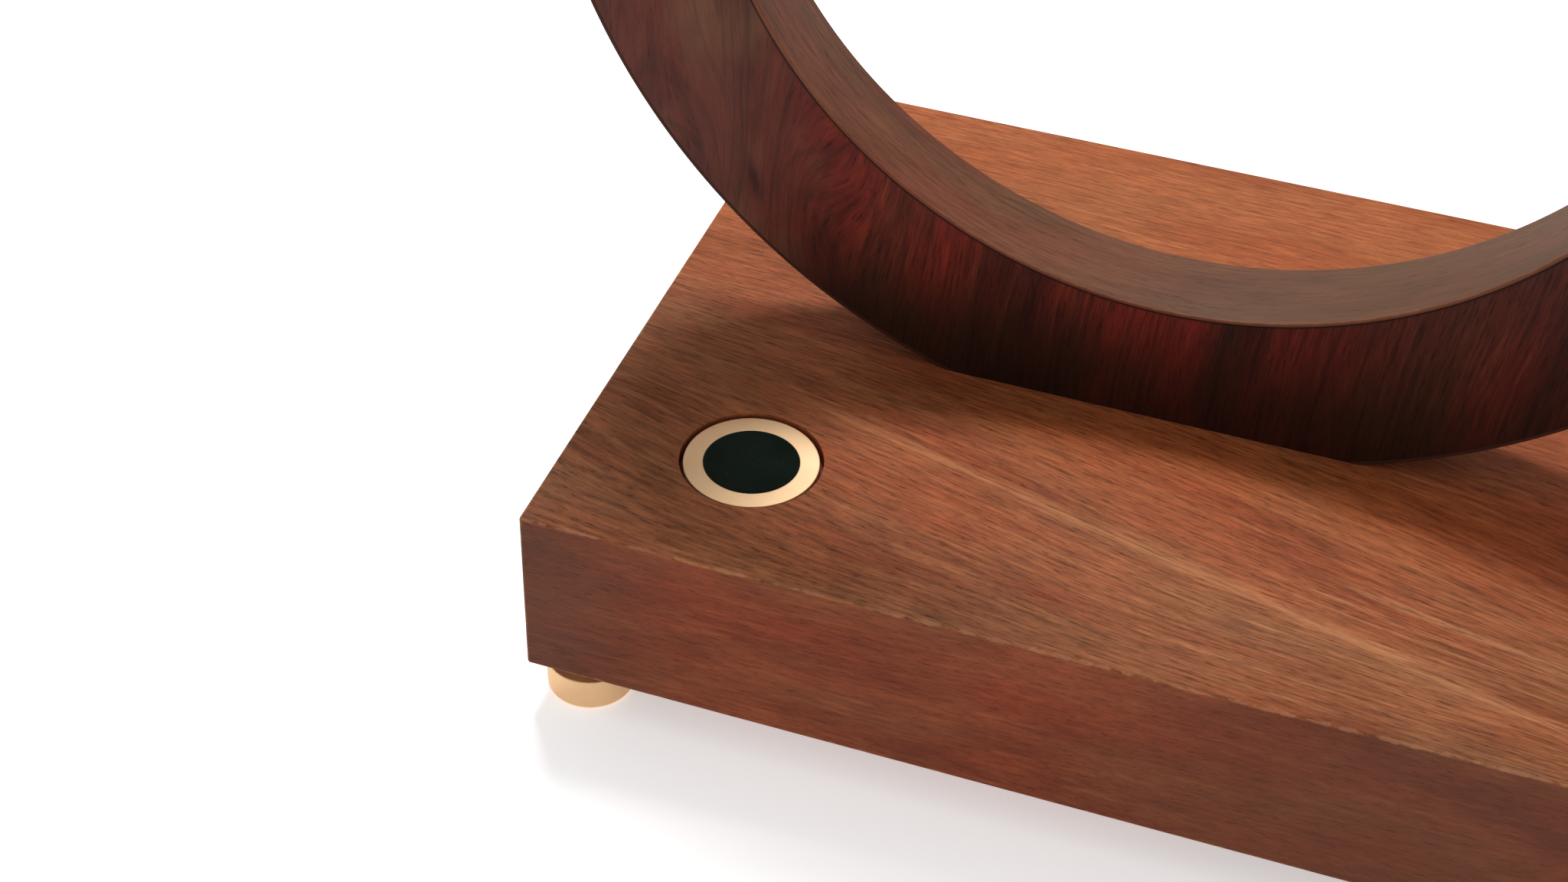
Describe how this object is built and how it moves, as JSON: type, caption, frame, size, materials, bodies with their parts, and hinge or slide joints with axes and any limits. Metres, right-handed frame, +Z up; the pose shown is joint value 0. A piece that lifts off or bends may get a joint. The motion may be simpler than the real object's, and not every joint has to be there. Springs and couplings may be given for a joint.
{
  "type": "headphone stand",
  "caption": "Upright veneered wooden hoop bolted to a solid wooden plinth with turned metal feet and an inlaid disc; headphones hang over the hoop.",
  "frame": {"origin": "on the floor, under the middle of the plinth", "axes": "+X across the hoop to the right seen from the front, +Y from front to rear, +Z up"},
  "size_m": [0.1922, 0.1222, 0.2231],
  "materials": {
    "plinth_wood": "satin lacquered red-brown hardwood, grain along X",
    "hoop_veneer": "satin dark red-brown veneer, grain upright",
    "hoop_lipping": "satin grey-brown edge veneer, grain round the ring",
    "core_board": "raw fibreboard",
    "brass": "satin turned brass",
    "enamel": "near-black green gloss enamel",
    "adhesive_foam": "thin black adhesive foam",
    "pad_rubber": "matt black rubber",
    "zinc_steel": "zinc plated",
    "insert_brass": "plain brass",
    "dowel_beech": "raw beech"
  },
  "bodies": {
    "root": {"plinth": "plinth_wood", "hoop_core": "core_board", "hoop_front_veneer": "hoop_veneer", "hoop_rear_veneer": "hoop_veneer", "hoop_inner_lipping": "hoop_lipping", "hoop_outer_lipping": "hoop_lipping", "badge_disc": "brass", "badge_enamel": "enamel", "badge_adhesive": "adhesive_foam", "foot_screws": "zinc_steel", "hoop_bolts": "zinc_steel", "hoop_washers": "zinc_steel", "hoop_inserts": "insert_brass", "hoop_dowels": "dowel_beech", "foot_front_left": "brass", "pad_front_left": "pad_rubber", "foot_front_right": "brass", "pad_front_right": "pad_rubber", "foot_rear_left": "brass", "pad_rear_left": "pad_rubber", "foot_rear_right": "brass", "pad_rear_right": "pad_rubber"}
  },
  "joints": []
}
